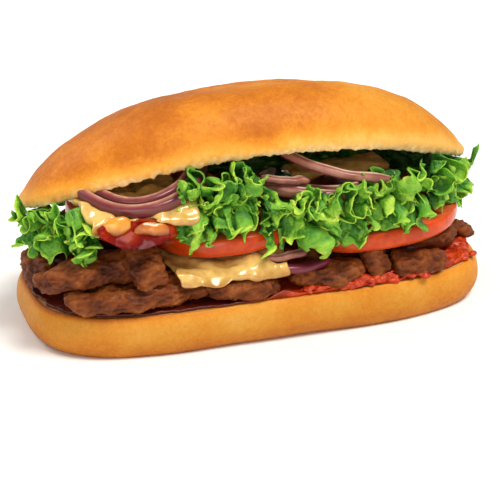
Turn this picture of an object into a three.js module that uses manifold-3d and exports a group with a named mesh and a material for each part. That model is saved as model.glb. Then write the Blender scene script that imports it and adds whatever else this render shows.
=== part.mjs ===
// A steak sandwich: a soft long roll, cut right through, with tomato sauce, strips of steak,
// melted cheese, tomato, red onion and curly lettuce between its two halves.
// Millimetres, +Z up. The roll runs along X and its open side faces -Y. The origin is the
// middle of the flat base of the lower half, which the sandwich stands on.

import * as THREE from "three";
import { mergeVertices } from "three/addons/utils/BufferGeometryUtils.js";
import Module from "manifold-3d";

const wasm = await Module();
wasm.setup();

// Driving dimensions of the roll
const rollHalfLength = 95.5;
const heelHalfDepth = 43.5;
const heelHeight = 17.5;
const crownHalfLength = 94;
const crownHalfDepth = 38;
const crownHeight = 26.5;
const crownBack = 5; // how far the crown sits behind the middle of the heel
const crownTipHeight = 51; // the crown's cut face at its two ends
const crownArch = 15; // how much higher that face is in the middle
const crownTilt = 0.245; // its rise per millimetre towards the open side

// Driving dimensions of the filling
const tomatoThickness = 7.5;
const tomatoLean = 0.07; // the slices shingle, each with its right side up
const leafThickness = 1.1;
const onionWall = 4.4; // a ring's thickness, measured along its radius
const sauceFilm = 0.9; // under the steak, which lies flat on it
const touchGap = 0.4; // clear space left between two pieces that touch
const simplest = 0.16; // relief smaller than this is left out of the solids

const turn = 2 * Math.PI;
const mix = (a, b, t) => a + (b - a) * t;
const vec = (x, y, z) => new THREE.Vector3(x, y, z);

function smooth(low, high, value) {
  const t = Math.min(1, Math.max(0, (value - low) / (high - low)));
  return t * t * (3 - 2 * t);
}

// Smooth noise from -1 to 1, the same on every run
function cornerValue(x, y, z, seed) {
  let h = Math.imul(x, 374761393) ^ Math.imul(y, 668265263);
  h ^= Math.imul(z, 1274126177) ^ Math.imul(seed + 17, 974634777);
  h = Math.imul(h ^ (h >>> 13), 1103515245);
  h = Math.imul(h ^ (h >>> 16), 2246822519);
  return ((h ^ (h >>> 15)) >>> 0) / 2147483648 - 1;
}

function noise(x, y, z, seed) {
  const [ix, iy, iz] = [x, y, z].map(Math.floor);
  const ease = (t) => t * t * (3 - 2 * t);
  const [fx, fy, fz] = [ease(x - ix), ease(y - iy), ease(z - iz)];
  const edge = (dy, dz) =>
    mix(
      cornerValue(ix, iy + dy, iz + dz, seed),
      cornerValue(ix + 1, iy + dy, iz + dz, seed),
      fx,
    );
  return mix(mix(edge(0, 0), edge(1, 0), fy), mix(edge(0, 1), edge(1, 1), fy), fz);
}

const noiseAt = (p, size, seed) => noise(p.x / size, p.y / size, p.z / size, seed);

// A closed skin over rings of points. All rings have as many points and turn the same way,
// anticlockwise as seen from the last ring, and a fan closes each end.
function skin(rings) {
  const count = rings[0].length;
  const positions = [];
  const index = [];
  const add = (p) => positions.push(p.x, p.y, p.z) / 3 - 1;
  const middle = (ring) =>
    ring.reduce((sum, p) => sum.add(p), vec(0, 0, 0)).divideScalar(count);
  rings.forEach((ring) => ring.forEach(add));
  const start = add(middle(rings[0]));
  const end = add(middle(rings[rings.length - 1]));
  const last = (rings.length - 1) * count;
  for (let i = 0; i < count; i++) {
    const next = (i + 1) % count;
    for (let j = 0; j < last; j += count) {
      index.push(j + i, j + next, j + count + next);
      index.push(j + i, j + count + next, j + count + i);
    }
    index.push(start, next, i);
    index.push(end, last + i, last + next);
  }
  return closed(positions, index);
}

// A thin closed sheet over a grid of points: both faces have the same triangles
function sheet(grid, thickness) {
  const rows = grid.length;
  const columns = grid[0].length;
  const positions = [];
  const index = [];
  const at = (side, i, j) => (side * rows + i) * columns + j;
  for (const side of [-0.5, 0.5]) {
    for (let i = 0; i < rows; i++) {
      for (let j = 0; j < columns; j++) {
        const along = vec(0, 0, 0).subVectors(
          grid[i][Math.min(j + 1, columns - 1)],
          grid[i][Math.max(j - 1, 0)],
        );
        const across = vec(0, 0, 0).subVectors(
          grid[Math.min(i + 1, rows - 1)][j],
          grid[Math.max(i - 1, 0)][j],
        );
        const normal = along.cross(across).normalize();
        const p = grid[i][j].clone().addScaledVector(normal, side * thickness);
        positions.push(p.x, p.y, p.z);
      }
    }
  }
  const quad = (a, b, c, d) => index.push(a, b, c, a, c, d);
  for (let i = 0; i + 1 < rows; i++) {
    for (let j = 0; j + 1 < columns; j++) {
      index.push(at(1, i, j), at(1, i, j + 1), at(1, i + 1, j + 1));
      index.push(at(1, i, j), at(1, i + 1, j + 1), at(1, i + 1, j));
      index.push(at(0, i, j), at(0, i + 1, j + 1), at(0, i, j + 1));
      index.push(at(0, i, j), at(0, i + 1, j), at(0, i + 1, j + 1));
    }
  }
  for (let j = 0; j + 1 < columns; j++) {
    const far = rows - 1;
    quad(at(0, 0, j), at(0, 0, j + 1), at(1, 0, j + 1), at(1, 0, j));
    quad(at(1, far, j), at(1, far, j + 1), at(0, far, j + 1), at(0, far, j));
  }
  for (let i = 0; i + 1 < rows; i++) {
    const far = columns - 1;
    quad(at(1, i, 0), at(1, i + 1, 0), at(0, i + 1, 0), at(0, i, 0));
    quad(at(0, i, far), at(0, i + 1, far), at(1, i + 1, far), at(1, i, far));
  }
  return closed(positions, index);
}

function closed(positions, index) {
  const geometry = new THREE.BufferGeometry();
  geometry.setAttribute("position", new THREE.Float32BufferAttribute(positions, 3));
  geometry.setIndex(index);
  return mergeVertices(geometry, 1e-3);
}

// The same skin moved outwards along its normals by the gap between touching pieces
function grown(geometry, distance) {
  const wider = geometry.clone();
  wider.computeVertexNormals();
  const { position, normal } = wider.attributes;
  for (let i = 0; i < position.count; i++) {
    position.setXYZ(
      i,
      position.getX(i) + normal.getX(i) * distance,
      position.getY(i) + normal.getY(i) * distance,
      position.getZ(i) + normal.getZ(i) * distance,
    );
  }
  wider.deleteAttribute("normal");
  return wider;
}

function solidOf(geometry) {
  return new wasm.Manifold(
    new wasm.Mesh({
      numProp: 3,
      vertProperties: new Float32Array(geometry.attributes.position.array),
      triVerts: new Uint32Array(geometry.index.array),
    }),
  );
}

function geometryOf(solid) {
  const mesh = solid.getMesh();
  const geometry = new THREE.BufferGeometry();
  geometry.setAttribute("position", new THREE.BufferAttribute(mesh.vertProperties, 3));
  geometry.setIndex(new THREE.BufferAttribute(mesh.triVerts, 1));
  return geometry;
}

const sandwich = new THREE.Group();
const colours = {
  crust: 0xe39a3c,
  sauce: 0xa8301c,
  steak: 0x7c4826,
  cheese: 0xe6bd6c,
  drop: 0xd98a2b,
  tomato: 0xd4512a,
  onion: 0xc08a8a,
  petal: 0xa02a2c,
  lettuce: 0x6aa53c,
};
const placed = [];

function largestOf(solid) {
  return solid.decompose().sort((a, b) => b.volume() - a.volume())[0];
}

// Adds a piece, cut back where it would cross one that was added before it
function place(name, finish, geometry, roughness = 0.6) {
  let solid = solidOf(geometry);
  const room = solid.boundingBox();
  for (const other of placed) {
    const box = other.room;
    const apart = [0, 1, 2].some(
      (k) => box.min[k] > room.max[k] || box.max[k] < room.min[k],
    );
    if (!apart) solid = solid.subtract(other.wider);
  }
  const kept = largestOf(largestOf(solid).simplify(simplest));
  const wider = solidOf(grown(geometry, touchGap)).add(kept);
  placed.push({ wider, room: wider.boundingBox() });
  const material = new THREE.MeshStandardMaterial({
    color: colours[finish],
    roughness,
    metalness: 0,
  });
  const mesh = new THREE.Mesh(geometryOf(kept), material);
  mesh.name = name;
  sandwich.add(mesh);
}

// A point on a rounded outline: a squareness of 2 is an ellipse, more is squarer
function outline(halfLength, halfDepth, squareness, angle) {
  const power = 2 / squareness;
  const reach = (t) => Math.sign(t) * Math.abs(t) ** power;
  return vec(halfLength * reach(Math.cos(angle)), halfDepth * reach(Math.sin(angle)), 0);
}

function ringOf(count, pointAt) {
  return Array.from({ length: count }, (_, i) => pointAt((turn * i) / count));
}

// The lower half of the roll
const heelSides = 42;
const heelSquareness = 3.4;
const heelRimInset = 2.6;
const heelDish = 1.1;

function heelRing(inset, z, lumps) {
  return ringOf(heelSides, (angle) => {
    const p = outline(rollHalfLength, heelHalfDepth, heelSquareness, angle);
    const shrink = 1 - inset / p.length();
    const swell = 1 + (lumps * noiseAt(p, 24, 3)) / p.length();
    return vec(p.x * shrink * swell, p.y * shrink * swell, z);
  });
}

function heel() {
  const wallTurn = THREE.MathUtils.degToRad(64);
  const steps = 6;
  const rings = [heelRing(24, 0, 0)];
  for (let i = 0; i <= steps; i++) {
    const angle = mix(-wallTurn, wallTurn, i / steps);
    const bulge = i < steps / 2 ? 9.5 : 4.6;
    const z = heelHeight * (0.5 + (0.5 * Math.sin(angle)) / Math.sin(wallTurn));
    rings.push(heelRing(bulge * (1 - Math.cos(angle)), z, 0.7));
  }
  rings.push(heelRing(heelRimInset + 3, heelHeight - 0.1, 0.5));
  rings.push(heelRing(heelRimInset + 12, heelHeight - heelDish, 0));
  rings.push(heelRing(heelRimInset + 24, heelHeight - heelDish, 0));
  return skin(rings);
}

// The upper half of the roll: a dome over a cut face that arches and leans back
const crownSides = 46;
const crownSquareness = 2.25;

function cutFaceHeight(x, y) {
  const arch = crownArch * (1 - (x / crownHalfLength) ** 2);
  return crownTipHeight + arch - (y - crownBack) * crownTilt;
}

function crownRing(share, rise, lumps) {
  return ringOf(crownSides, (angle) => {
    const p = outline(crownHalfLength, crownHalfDepth, crownSquareness, angle);
    p.multiplyScalar(share);
    p.y += crownBack;
    p.z = cutFaceHeight(p.x, p.y) + rise;
    p.z += lumps * noise(p.x / 30, p.y / 22, rise / 30, 5);
    return p;
  });
}

function crown() {
  // Each row is the share of the outline, and the rise over the cut face there
  const underside = [
    [0.3, 1.6],
    [0.7, 1],
    [0.92, 0.1],
    [0.975, 0],
  ];
  const wall = [[1, 3]];
  const dome = [0.985, 0.95, 0.88, 0.76, 0.58, 0.32].map((share) => [
    share,
    crownHeight * (1 - share ** 3.24) ** 0.578,
  ]);
  return skin([
    ...underside.map(([share, rise]) => crownRing(share, rise, 0)),
    ...wall.map(([share, rise]) => crownRing(share, rise, 0.4)),
    ...dome.map(([share, rise]) => crownRing(share, rise, 1)),
  ]);
}

// Tomato sauce on the cut face of the heel, thick only where it wells out at the edge
const sauceWells = [
  { x: 2, y: -40, size: 4, rise: 1.6 },
  { x: 33, y: -40, size: 5, rise: 3.4 },
  { x: 82, y: -24, size: 8, rise: 2.2 },
  { x: 33, y: 40, size: 5, rise: 2.4 },
  { x: -26, y: 40, size: 5, rise: 2 },
];

function sauceRing(share, isTop) {
  return ringOf(40, (angle) => {
    const p = outline(rollHalfLength - 4, heelHalfDepth - 3.2, heelSquareness, angle);
    p.multiplyScalar(share * (1 + 0.03 * noiseAt(p, 9, 11)));
    const floor = heelHeight + touchGap;
    const wells = sauceWells.map(
      ({ x, y, size, rise }) =>
        rise * Math.exp(-((p.x - x) ** 2 + (p.y - y) ** 2) / size ** 2),
    );
    p.z = floor + (isTop ? sauceFilm + Math.max(...wells) : 0);
    return p;
  });
}

function sauce() {
  const shares = [0.55, 0.88, 1];
  return skin([
    ...shares.map((share) => sauceRing(share, false)),
    ...shares.reverse().map((share) => sauceRing(share * 0.99, true)),
  ]);
}

// A strip of steak: a lumpy bar along a curve, rounded off at both ends
function strip({ path, half, seed, side, stations = 9, sides = 8 }) {
  const curve = new THREE.CatmullRomCurve3(path.map((p) => vec(...p)));
  const rings = [];
  for (let i = 0; i < stations; i++) {
    const t = i / (stations - 1);
    const centre = curve.getPoint(t);
    const ahead = curve.getTangent(t);
    const across = side ? vec(...side) : vec(0, 0, 1).cross(ahead).normalize();
    const up = vec(0, 0, 0).crossVectors(ahead, across).normalize();
    const taper = (1 - Math.abs(2 * t - 1) ** 5 * 0.8) ** 0.5;
    rings.push(
      ringOf(sides, (angle) => {
        const p = outline(half[0] * taper, half[1] * taper, 2.5, angle);
        const lump = 1 + 0.17 * noise(t * 5, p.x / 6, p.y / 6, seed);
        const q = centre.clone();
        q.addScaledVector(across, p.x * lump).addScaledVector(up, p.y * lump);
        q.z = Math.max(q.z, heelHeight + sauceFilm + 2 * touchGap);
        return q;
      }),
    );
  }
  return skin(rings);
}

// Each strip has a path through its middle and half sizes across and up
const steaks = {
  steak_front_left_high: {
    path: [[-93, -20, 29], [-88, -26, 32], [-74, -29, 35], [-60, -26, 34.5], [-50, -20, 33]],
    half: [8, 5.4],
    seed: 21,
  },
  steak_front_left_low: {
    path: [[-86, -30, 24.5], [-70, -33.5, 24], [-50, -32, 24], [-32, -29, 24], [-18, -27, 23]],
    half: [9, 5.3],
    seed: 22,
  },
  steak_fold_left: {
    path: [[-57, -24, 43], [-55.5, -32, 39.5], [-54, -36.5, 34], [-52, -37, 27.5]],
    half: [7.6, 3.4],
    side: [1, 0.15, 0.1],
    seed: 23,
    sides: 10,
  },
  steak_middle: {
    path: [[-37, -29, 26.5], [-25, -33.5, 23.8], [-11, -35, 21.6], [-1, -32, 22]],
    half: [8, 5.4],
    seed: 24,
  },
  steak_front_centre: {
    path: [[6, -27, 24], [15, -33, 22.8], [26, -34, 22.8], [35, -30, 24.5]],
    half: [8, 5],
    seed: 25,
  },
  steak_fold_right: {
    path: [[40, -25, 30], [40.6, -32, 28.4], [41.4, -36.5, 24.5], [42.4, -37, 19.6]],
    half: [6, 3.1],
    side: [1, 0.1, -0.1],
    seed: 26,
    sides: 10,
  },
  steak_front_right: {
    path: [[48, -31, 22.5], [55, -34, 22.8], [63, -33.5, 22.4], [71, -29, 22]],
    half: [7.5, 4.6],
    seed: 27,
  },
  steak_right_high: {
    path: [[50, -20, 29.5], [62, -22, 28.6], [74, -19, 26.5], [83, -12, 24]],
    half: [7, 3.9],
    seed: 28,
  },
  steak_tip_right: {
    path: [[74, 2, 26], [84, -3, 24.5], [91, -6, 22.5], [97, -7.5, 20.5]],
    half: [6, 2.9],
    seed: 29,
  },
  steak_core_left: {
    path: [[-82, -2, 25], [-60, -6, 25], [-38, -4, 24.5], [-14, -5, 24]],
    half: [14, 5.6],
    seed: 30,
  },
  steak_core_right: {
    path: [[-4, -6, 24], [20, -9, 24], [44, -7, 23.5], [68, -4, 23]],
    half: [15, 5.4],
    seed: 31,
  },
  steak_back_left: {
    path: [[-84, 20, 24.5], [-66, 29, 25.5], [-46, 31, 25], [-28, 28, 24.5]],
    half: [9, 5.8],
    seed: 32,
  },
  steak_back_centre: {
    path: [[-22, 29, 24], [-4, 32, 24.8], [14, 31, 24.6], [30, 27, 24]],
    half: [9, 5.6],
    seed: 33,
  },
  steak_back_right: {
    path: [[37, 27, 24], [52, 31, 23.8], [66, 29, 23.6], [80, 20, 23]],
    half: [9, 5],
    seed: 34,
  },
  steak_back_high: {
    path: [[-86, 4, 34], [-76, 16, 35.5], [-64, 22, 36], [-51, 22, 35.4]],
    half: [11, 4.4],
    seed: 35,
  },
  steak_end_left: {
    path: [[-83, 19, 24.6], [-87, 10, 25.2], [-88.5, -1, 25.6], [-87.5, -12, 25]],
    half: [7, 5.2],
    seed: 36,
  },
};

// A slice of tomato: a disc with a rounded skin, not quite round
function tomato({ centre, radius, seed }) {
  const half = tomatoThickness / 2;
  const profile = [
    [0.45, -half],
    [0.93, -half],
    [0.99, -half * 0.45],
    [0.99, half * 0.45],
    [0.93, half],
    [0.45, half],
  ];
  return skin(
    profile.map(([share, z]) =>
      ringOf(32, (angle) => {
        const lobes = 1 + 0.02 * Math.sin(3 * angle + seed) + 0.012 * Math.sin(5 * angle);
        const x = radius * share * lobes * Math.cos(angle);
        const y = radius * share * lobes * Math.sin(angle);
        const lean = tomatoLean * x;
        return vec(centre[0] + x, centre[1] + y, centre[2] + z + lean);
      }),
    ),
  );
}

const tomatoes = {
  tomato_left: { centre: [-44, 1, 48.4], radius: 32, seed: 1 },
  tomato_middle: { centre: [-11, 0, 40], radius: 36.5, seed: 2 },
  tomato_right: { centre: [50, -0.5, 34.6], radius: 38, seed: 3 },
};

// Part of an onion ring, leaning by a pitch towards the open side and a roll to the right
function onionArc({ centre, radius, from, to, pitch = 0, roll = 0, tall = 5, stations = 13 }) {
  const plane = new THREE.Matrix4().makeRotationFromEuler(
    new THREE.Euler(pitch, -roll, 0, "XYZ"),
  );
  const rings = [];
  for (let i = 0; i < stations; i++) {
    const t = i / (stations - 1);
    const angle = THREE.MathUtils.degToRad(mix(from, to, t));
    const taper = 0.45 + 0.55 * Math.min(1, 6 * Math.min(t, 1 - t));
    const outwards = vec(Math.cos(angle), Math.sin(angle), 0);
    const middle = outwards.clone().multiplyScalar(radius);
    rings.push(
      ringOf(6, (a) => {
        const p = outline((onionWall / 2) * taper, (tall / 2) * taper, 3, a);
        const q = middle.clone().addScaledVector(outwards, p.x);
        q.z += p.y;
        return q.applyMatrix4(plane).add(vec(...centre));
      }).reverse(),
    );
  }
  return skin(rings);
}

const degrees = THREE.MathUtils.degToRad;
const onions = {
  onion_ring_left: {
    centre: [-51, -12.5, 68.5],
    radius: 25,
    from: 178,
    to: 372,
    pitch: degrees(18),
    roll: degrees(8),
    tall: 5.4,
    stations: 17,
  },
  onion_band_right: {
    centre: [24, 8, 58.5],
    radius: 42,
    from: 228,
    to: 312,
    pitch: degrees(4),
    roll: degrees(-6),
    tall: 5.2,
  },
  onion_strip_right: {
    centre: [36, -2, 65.5],
    radius: 34,
    from: 196,
    to: 290,
    pitch: degrees(5),
    roll: degrees(-13),
    tall: 3.6,
  },
  onion_strip_inner: {
    centre: [6, 4, 62.6],
    radius: 33,
    from: 250,
    to: 285,
    roll: degrees(-8),
    tall: 3,
    stations: 7,
  },
  onion_low_purple: {
    centre: [5, -8, 30.5],
    radius: 30,
    from: 238,
    to: 304,
    pitch: degrees(3),
    roll: degrees(-5),
    tall: 3.4,
    stations: 9,
  },
  onion_low_white: {
    centre: [3, -10, 33.2],
    radius: 25,
    from: 245,
    to: 292,
    roll: degrees(4),
    tall: 2.8,
    stations: 7,
  },
  onion_back: {
    centre: [24, 6, 42.8],
    radius: 32,
    from: 40,
    to: 128,
    roll: degrees(4),
    tall: 4.4,
  },
};

// A petal of onion in red sauce, pointed at its foot, that hangs over the edge of the tomato
function petal() {
  const ringAt = (share, lift) =>
    ringOf(20, (angle) => {
      const height = Math.sin(angle) > 0 ? 4 : 8.2;
      const x = 15.5 * share * Math.cos(angle);
      const y = height * share * Math.sin(angle) * Math.abs(Math.sin(angle)) ** 0.35;
      const cup = 2.4 * (1 - share * share) - lift;
      return vec(-59.5 + x, -39.4 + 0.42 * y + 0.9 * cup, 54.6 - 0.1 * x + 0.88 * y);
    });
  return skin([
    ...[0.5, 0.85, 1].map((share) => ringAt(share, 0)),
    ...[0.98, 0.83, 0.5].map((share) => ringAt(share, 1.8)),
  ]);
}

// Two drops of melted cheese that run over the petal
function drop({ centre, half }) {
  const rings = [-58, -20, 20, 58].map((latitude) => {
    const angle = degrees(latitude);
    return ringOf(12, (a) =>
      vec(
        centre[0] + half[0] * Math.cos(angle) * Math.cos(a),
        centre[1] + half[1] * Math.cos(angle) * Math.sin(a),
        centre[2] + half[2] * Math.sin(angle),
      ),
    );
  });
  return skin(rings);
}

const drops = {
  cheese_drop_left: { centre: [-67, -40.6, 56.8], half: [5.4, 3.4, 3.8] },
  cheese_drop_right: { centre: [-53.5, -41.8, 53.6], half: [6.2, 3.4, 4] },
};

// Melted cheese: a sheet that lies over what is under it and hangs down at the open side
function cheeseSheet({ left, right, rows, thickness, sag, seed }) {
  const columns = 10;
  const grid = rows.map(([y, z], i) =>
    Array.from({ length: columns }, (_, j) => {
      const t = j / (columns - 1);
      const shown = i / (rows.length - 1);
      const hang = smooth(0.6, 1, shown) * sag * (0.35 + 0.65 * t);
      const x = mix(left, right, t) + 2.5 * noise(i * 0.7, t, 0, seed);
      const wave = noise(x / 8, y / 8, 1, seed);
      return vec(x, y - 0.5 * wave, z - hang + 0.9 * wave);
    }),
  );
  return sheet(grid, thickness);
}

const cheeses = {
  cheese_lower: {
    left: -43,
    right: 4,
    rows: [[36, 31.5], [14, 31.7], [-8, 31.9], [-25, 32.3], [-35, 32.5], [-39.8, 31.4], [-42, 29]],
    thickness: 2.2,
    sag: 1.6,
    seed: 41,
  },
  cheese_back: {
    left: 20,
    right: 62,
    rows: [[21, 49], [13, 50], [4, 50.4]],
    thickness: 2.6,
    sag: 0,
    seed: 43,
  },
  cheese_upper: {
    left: -77,
    right: -35,
    rows: [[18, 56], [0, 57.4], [-16, 58.4], [-28, 58.8], [-35, 57.8], [-40, 55.8]],
    thickness: 3,
    sag: 1,
    seed: 42,
  },
};

// Moves a point of a leaf off the tomato slices and out from under the crown's cut face
function clearOfLayers(p) {
  const clear = leafThickness / 2 + 2 * touchGap;
  for (const { centre, radius } of Object.values(tomatoes)) {
    const [x, y, z] = centre;
    const top = z + tomatoLean * (p.x - x) + tomatoThickness / 2 + clear;
    const out = Math.hypot(p.x - x, p.y - y) / (radius + clear);
    if (out < 1 && p.z > z - tomatoThickness) p.z = Math.max(p.z, top);
  }
  const under = (p.x / crownHalfLength) ** 2 + ((p.y - crownBack) / crownHalfDepth) ** 2 < 1.12;
  if (under) p.z = Math.min(p.z, cutFaceHeight(p.x, p.y) - clear - 0.6);
  return p;
}

// How far out and how far up a leaf's middle line is at each share of its length, when it
// starts level and then bends up or down
function bendOf(length, bend) {
  const steps = 40;
  const line = [[0, 0, 0]];
  for (let i = 0; i < steps; i++) {
    const angle = bend * smooth(0.1, 0.85, (i + 0.5) / steps);
    const [out, up] = line[i];
    const step = length / steps;
    line.push([out + step * Math.cos(angle), up + step * Math.sin(angle), angle]);
  }
  return (share) => line[Math.round(share * steps)];
}

// A curly leaf: it leaves the filling along a root line and bends, and its margin, which is
// longer than the root, waves in and out across the bend
function leaf({ root, out, length, bend, spread, flare, waves, phase, seed }) {
  const [a, b] = root.map((p) => vec(...p));
  const alongRoot = vec(0, 0, 0).subVectors(b, a);
  const width = alongRoot.length();
  alongRoot.normalize();
  const outwards = vec(out[0], out[1], 0).normalize();
  const columns = Math.round(6.4 * waves) + 1;
  const line = bendOf(1, degrees(bend));
  const grid = [0, 0.3, 0.55, 0.775, 1].map((v) =>
    Array.from({ length: columns }, (_, j) => {
      const u = j / (columns - 1);
      const wave = turn * (waves * u + phase) + 1.1 * noise(u * 3, 0, 0, seed);
      const ruffle = flare * smooth(0.16, 0.9, v) * (1 + 0.35 * noise(u * 4, 1, 0, seed));
      const long = length * (1 + 0.14 * noise(u * 5, 2, 0, seed));
      const [ahead, up, angle] = line(v);
      const swing = ruffle * Math.sin(wave);
      const p = a.clone().addScaledVector(alongRoot, width * u);
      p.addScaledVector(alongRoot, (u - 0.5) * spread * v - 0.3 * ruffle * Math.sin(2 * wave));
      p.addScaledVector(outwards, long * ahead - swing * Math.sin(angle));
      p.z += long * up + swing * Math.cos(angle);
      return clearOfLayers(p);
    }),
  );
  return sheet(grid, leafThickness);
}

// Each clump is a few leaves from one root line, that bend down and up from it
const clumps = {
  lettuce_left: {
    root: [[-85, 4, 49], [-66, -22, 49.5]],
    out: [-0.68, -0.73],
    length: 20.5,
    spread: 10,
    flare: 4.6,
    waves: 2.4,
    bends: [-72, 40],
    phase: 0.1,
    seed: 50,
  },
  lettuce_mid_left: {
    root: [[-41, -20, 57], [-12, -20, 58]],
    out: [-0.04, -1],
    length: 28,
    spread: 8,
    flare: 4.6,
    waves: 2.2,
    bends: [-78, 62],
    phase: 0.55,
    seed: 53,
  },
  lettuce_mid_right: {
    root: [[-4, -21, 50], [31, -21, 50]],
    out: [0, -1],
    length: 28,
    spread: 8,
    flare: 4.8,
    waves: 2.5,
    bends: [-84, 34],
    phase: 0.15,
    seed: 56,
  },
  lettuce_right: {
    root: [[36, -21, 51], [58, -22, 51]],
    out: [0.08, -1],
    length: 23,
    spread: 6,
    flare: 4.4,
    waves: 1.8,
    bends: [-60, 60],
    phase: 0.35,
    seed: 59,
  },
  lettuce_right_end: {
    root: [[60, -22, 50.5], [84, 6, 44.5]],
    out: [0.78, -0.62],
    length: 18.5,
    spread: 8,
    flare: 4.4,
    waves: 2.6,
    bends: [-66, 58],
    phase: 0.3,
    seed: 61,
  },
  lettuce_back_left: {
    root: [[-36, 24, 56], [-70, 22, 54.5]],
    out: [0, 1],
    length: 23,
    spread: 4,
    flare: 3.4,
    waves: 3,
    bends: [-50],
    phase: 0.2,
    seed: 64,
  },
  lettuce_back_middle: {
    root: [[36, 24, 49.5], [-28, 24, 51]],
    out: [0, 1],
    length: 24,
    spread: 8,
    flare: 3.6,
    waves: 3,
    bends: [40],
    phase: 0.6,
    seed: 65,
  },
  lettuce_back_right: {
    root: [[86, 5, 44], [40, 25, 48]],
    out: [0.42, 0.9],
    length: 20,
    spread: 10,
    flare: 3.6,
    waves: 3,
    bends: [32],
    phase: 0.4,
    seed: 66,
  },
};

place("bun_bottom", "crust", heel());
place("bun_top", "crust", crown());
for (const [name, size] of Object.entries(tomatoes)) {
  place(name, "tomato", tomato(size), 0.3);
}
for (const [name, size] of Object.entries(onions)) {
  place(name, "onion", onionArc(size), 0.4);
}
for (const [name, size] of Object.entries(steaks)) {
  place(name, "steak", strip(size), 0.5);
}
place("onion_petal", "petal", petal(), 0.3);
for (const [name, size] of Object.entries(drops)) {
  place(name, "drop", drop(size), 0.3);
}
for (const [name, size] of Object.entries(cheeses)) {
  place(name, "cheese", cheeseSheet(size), 0.35);
}
for (const [name, { bends, root, ...clump }] of Object.entries(clumps)) {
  bends.forEach((bend, i) => {
    const stacked = root.map(([x, y, z]) => [x, y, z + 2.8 * i]);
    const shape = { ...clump, bend, root: stacked, seed: clump.seed + i };
    place(bends.length > 1 ? name + "_" + (i + 1) : name, "lettuce", leaf(shape), 0.5);
  });
}
place("sauce", "sauce", sauce(), 0.3);

export default sandwich;
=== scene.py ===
import bmesh
import bpy
import math
import random
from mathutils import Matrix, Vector, noise


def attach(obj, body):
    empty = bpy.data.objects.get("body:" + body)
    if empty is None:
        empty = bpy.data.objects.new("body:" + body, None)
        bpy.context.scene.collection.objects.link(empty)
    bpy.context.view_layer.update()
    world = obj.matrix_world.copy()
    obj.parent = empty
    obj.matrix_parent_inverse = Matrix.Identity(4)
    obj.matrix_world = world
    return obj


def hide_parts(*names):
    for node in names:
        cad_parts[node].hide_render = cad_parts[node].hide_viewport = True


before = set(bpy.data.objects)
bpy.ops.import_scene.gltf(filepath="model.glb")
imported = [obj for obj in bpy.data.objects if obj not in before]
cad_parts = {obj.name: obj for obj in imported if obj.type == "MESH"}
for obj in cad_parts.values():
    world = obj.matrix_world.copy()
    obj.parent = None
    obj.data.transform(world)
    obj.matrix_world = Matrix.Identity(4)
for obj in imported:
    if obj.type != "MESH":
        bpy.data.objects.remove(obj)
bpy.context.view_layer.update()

mm = 0.001
turn = 2 * math.pi
up = Vector((0, 0, 1))


# Small sums that the pieces share

def mix(a, b, t):
    return a + (b - a) * t


def smooth(low, high, value):
    t = min(1, max(0, (value - low) / (high - low)))
    return t * t * (3 - 2 * t)


def cornerValue(x, y, z, seed):
    # the same hash as in the part's source, so that both have the same waves
    h = (x * 374761393) ^ (y * 668265263) ^ (z * 1274126177) ^ ((seed + 17) * 974634777)
    h &= 0xFFFFFFFF
    h = ((h ^ (h >> 13)) * 1103515245) & 0xFFFFFFFF
    h = ((h ^ (h >> 16)) * 2246822519) & 0xFFFFFFFF
    return (h ^ (h >> 15)) / 2147483648 - 1


def wander(x, y, z, seed):
    corner = [math.floor(v) for v in (x, y, z)]
    fx, fy, fz = [(v - c) ** 2 * (3 - 2 * (v - c)) for v, c in zip((x, y, z), corner)]
    ix, iy, iz = corner

    def edge(dy, dz):
        return mix(
            cornerValue(ix, iy + dy, iz + dz, seed),
            cornerValue(ix + 1, iy + dy, iz + dz, seed),
            fx,
        )

    return mix(mix(edge(0, 0), edge(1, 0), fy), mix(edge(0, 1), edge(1, 1), fy), fz)


def lump(p, size, seed):
    # soft relief, mostly between -1 and 1, in lumps of about this many millimetres
    return noise.noise(p / size + Vector((7.3, 1.9, 4.1)) * seed) * 1.6


def outlinePoint(halfLength, halfDepth, squareness, angle):
    c, s = math.cos(angle), math.sin(angle)
    power = 2 / squareness
    return Vector((
        halfLength * math.copysign(abs(c) ** power, c),
        halfDepth * math.copysign(abs(s) ** power, s),
        0,
    ))


def linearFromHex(code):
    channels = [int(code[i:i + 2], 16) / 255 for i in (0, 2, 4)]
    linear = [c / 12.92 if c <= 0.04045 else ((c + 0.055) / 1.055) ** 2.4 for c in channels]
    return (*linear, 1)


# Meshes: points are in millimetres until a piece is made

def makePiece(name, points, faces, notes, material, nodes):
    mesh = bpy.data.meshes.new(name)
    mesh.from_pydata([p * mm for p in points], [], faces)
    mesh.update()
    piece = bpy.data.objects.new(name, mesh)
    bpy.context.scene.collection.objects.link(piece)
    return finishPiece(piece, notes, material, nodes)


def pieceName(node):
    return node.title().replace("_", "")


def finishPiece(piece, notes, material, nodes):
    for key, values in notes.items():
        field = piece.data.attributes.new(key, "FLOAT", "POINT")
        field.data.foreach_set("value", values)
    for polygon in piece.data.polygons:
        polygon.use_smooth = True
    piece.data.materials.clear()
    piece.data.materials.append(material)
    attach(piece, "root")
    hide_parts(*nodes)
    return piece


def skinFaces(rows, count):
    # quads between rings of points, and a fan on the middle point at each end
    faces = []
    for j in range(rows - 1):
        for i in range(count):
            k = (i + 1) % count
            faces.append((j * count + i, j * count + k, (j + 1) * count + k, (j + 1) * count + i))
    start, last = rows * count, (rows - 1) * count
    for i in range(count):
        k = (i + 1) % count
        faces.append((start, k, i))
        faces.append((start + 1, last + i, last + k))
    return faces


def withMiddles(rings):
    points = [p for ring in rings for p in ring]
    for ring in (rings[0], rings[-1]):
        points.append(sum(ring, Vector()) / len(ring))
    return points


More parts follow.
